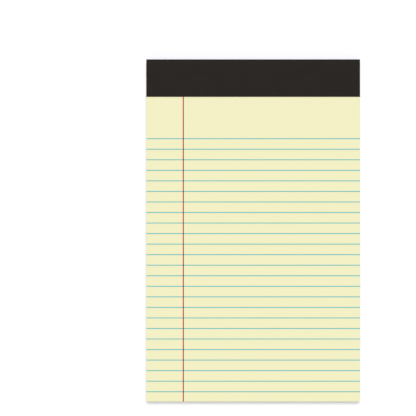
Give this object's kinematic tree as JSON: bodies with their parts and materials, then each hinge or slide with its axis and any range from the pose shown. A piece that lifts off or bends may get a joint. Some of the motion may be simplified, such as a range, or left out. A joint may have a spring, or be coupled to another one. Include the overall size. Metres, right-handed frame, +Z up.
{
  "type": "ruled writing pad",
  "caption": "Flat pad of ruled, perforated writing sheets on a chipboard back, stapled and bound at the head by a tape folded front to back.",
  "frame": {"origin": "centre of the base: the middle of the pad's outline, tape included, on the surface that the pad lies on", "axes": "+X across the sheets to the reader's right, +Y along the sheets towards the bound head, +Z up through the sheets, out of the writing face"},
  "size_m": [0.127, 0.2034, 0.0054],
  "materials": {
    "ruled_paper": "matt uncoated bond",
    "chipboard": "unlined grey-brown chipboard",
    "tape": "dark coated binding paper with a low sheen",
    "wire": "bright galvanised stitching wire"
  },
  "bodies": {
    "root": {"page_block": "ruled_paper", "backing_board": "chipboard", "binding_tape": "tape", "left_staple": "wire", "right_staple": "wire"}
  },
  "joints": []
}
